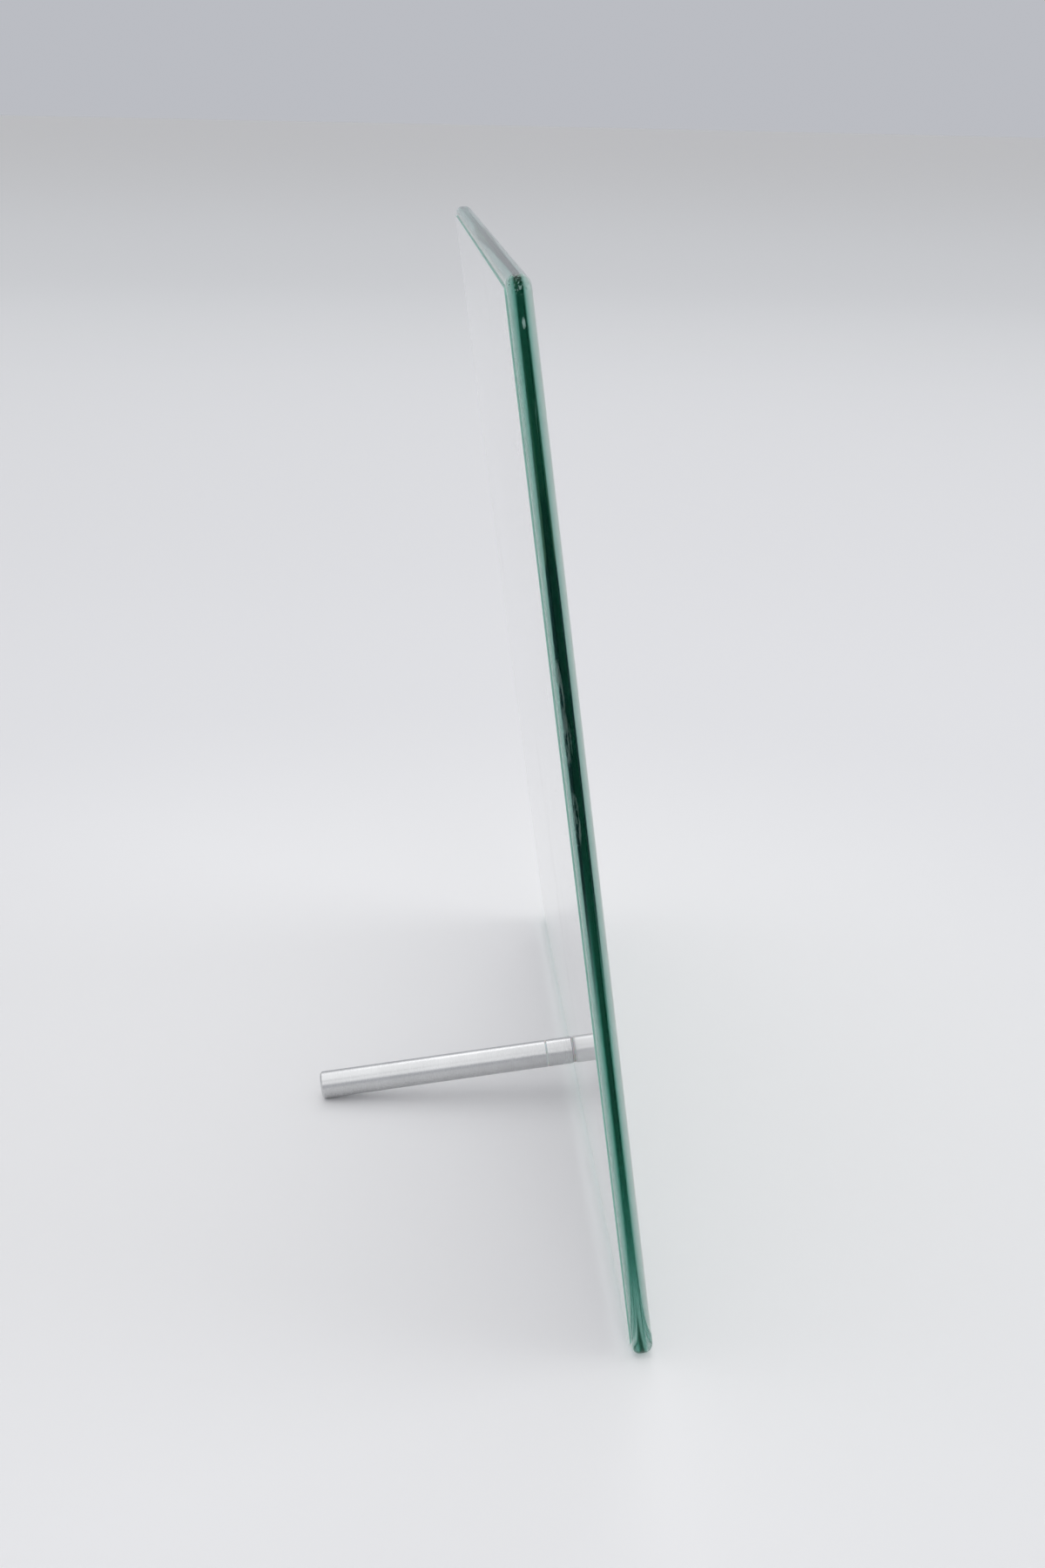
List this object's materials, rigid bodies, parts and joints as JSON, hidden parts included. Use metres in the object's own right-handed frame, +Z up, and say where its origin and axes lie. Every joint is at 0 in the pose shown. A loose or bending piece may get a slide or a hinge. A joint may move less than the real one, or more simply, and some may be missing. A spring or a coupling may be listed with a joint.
{
  "type": "glass picture frame",
  "caption": "Frameless glass picture frame: an upright polished glass plate bonded over its picture, leaning back on a screw-in round metal rod.",
  "frame": {"origin": "on the table, under the middle of the box that the leaning frame fills", "axes": "+X along the plate's width, +Y from the picture towards the rod behind it, +Z up; the picture faces -Y and leans back 8 degrees"},
  "size_m": [0.25, 0.0824, 0.2477],
  "materials": {
    "glass": "clear polished float glass, green at the edges",
    "picture": "printed picture sheet",
    "backing": "smooth glossy white film",
    "adhesive": "translucent bonding disc",
    "rod_metal": "satin turned aluminium",
    "nylon": "natural nylon",
    "stud_steel": "bright zinc-plated thread"
  },
  "bodies": {
    "plate": {"glass_panel": "glass", "picture_sheet": "picture", "backing_film": "backing", "adhesive_disc": "adhesive", "threaded_boss": "rod_metal"},
    "washer": {"nylon_washer": "nylon"},
    "rod": {"threaded_stud": "stud_steel", "stand_rod": "rod_metal"}
  },
  "joints": [
    {"name": "rod_travel", "type": "slide", "parent": "plate", "child": "washer", "axis": [0, 0.9903, -0.1392], "range_m": [0, 0.0042]},
    {"name": "rod_turn", "type": "hinge", "parent": "washer", "child": "rod", "pos_m": [0, -0.02549, 0.0132], "axis": [0, 0.9903, -0.1392], "range_deg": [0, 2160]}
  ],
  "couplings": [
    {"joint": "rod_turn", "follows": "rod_travel", "rad_per_m": 8976}
  ]
}
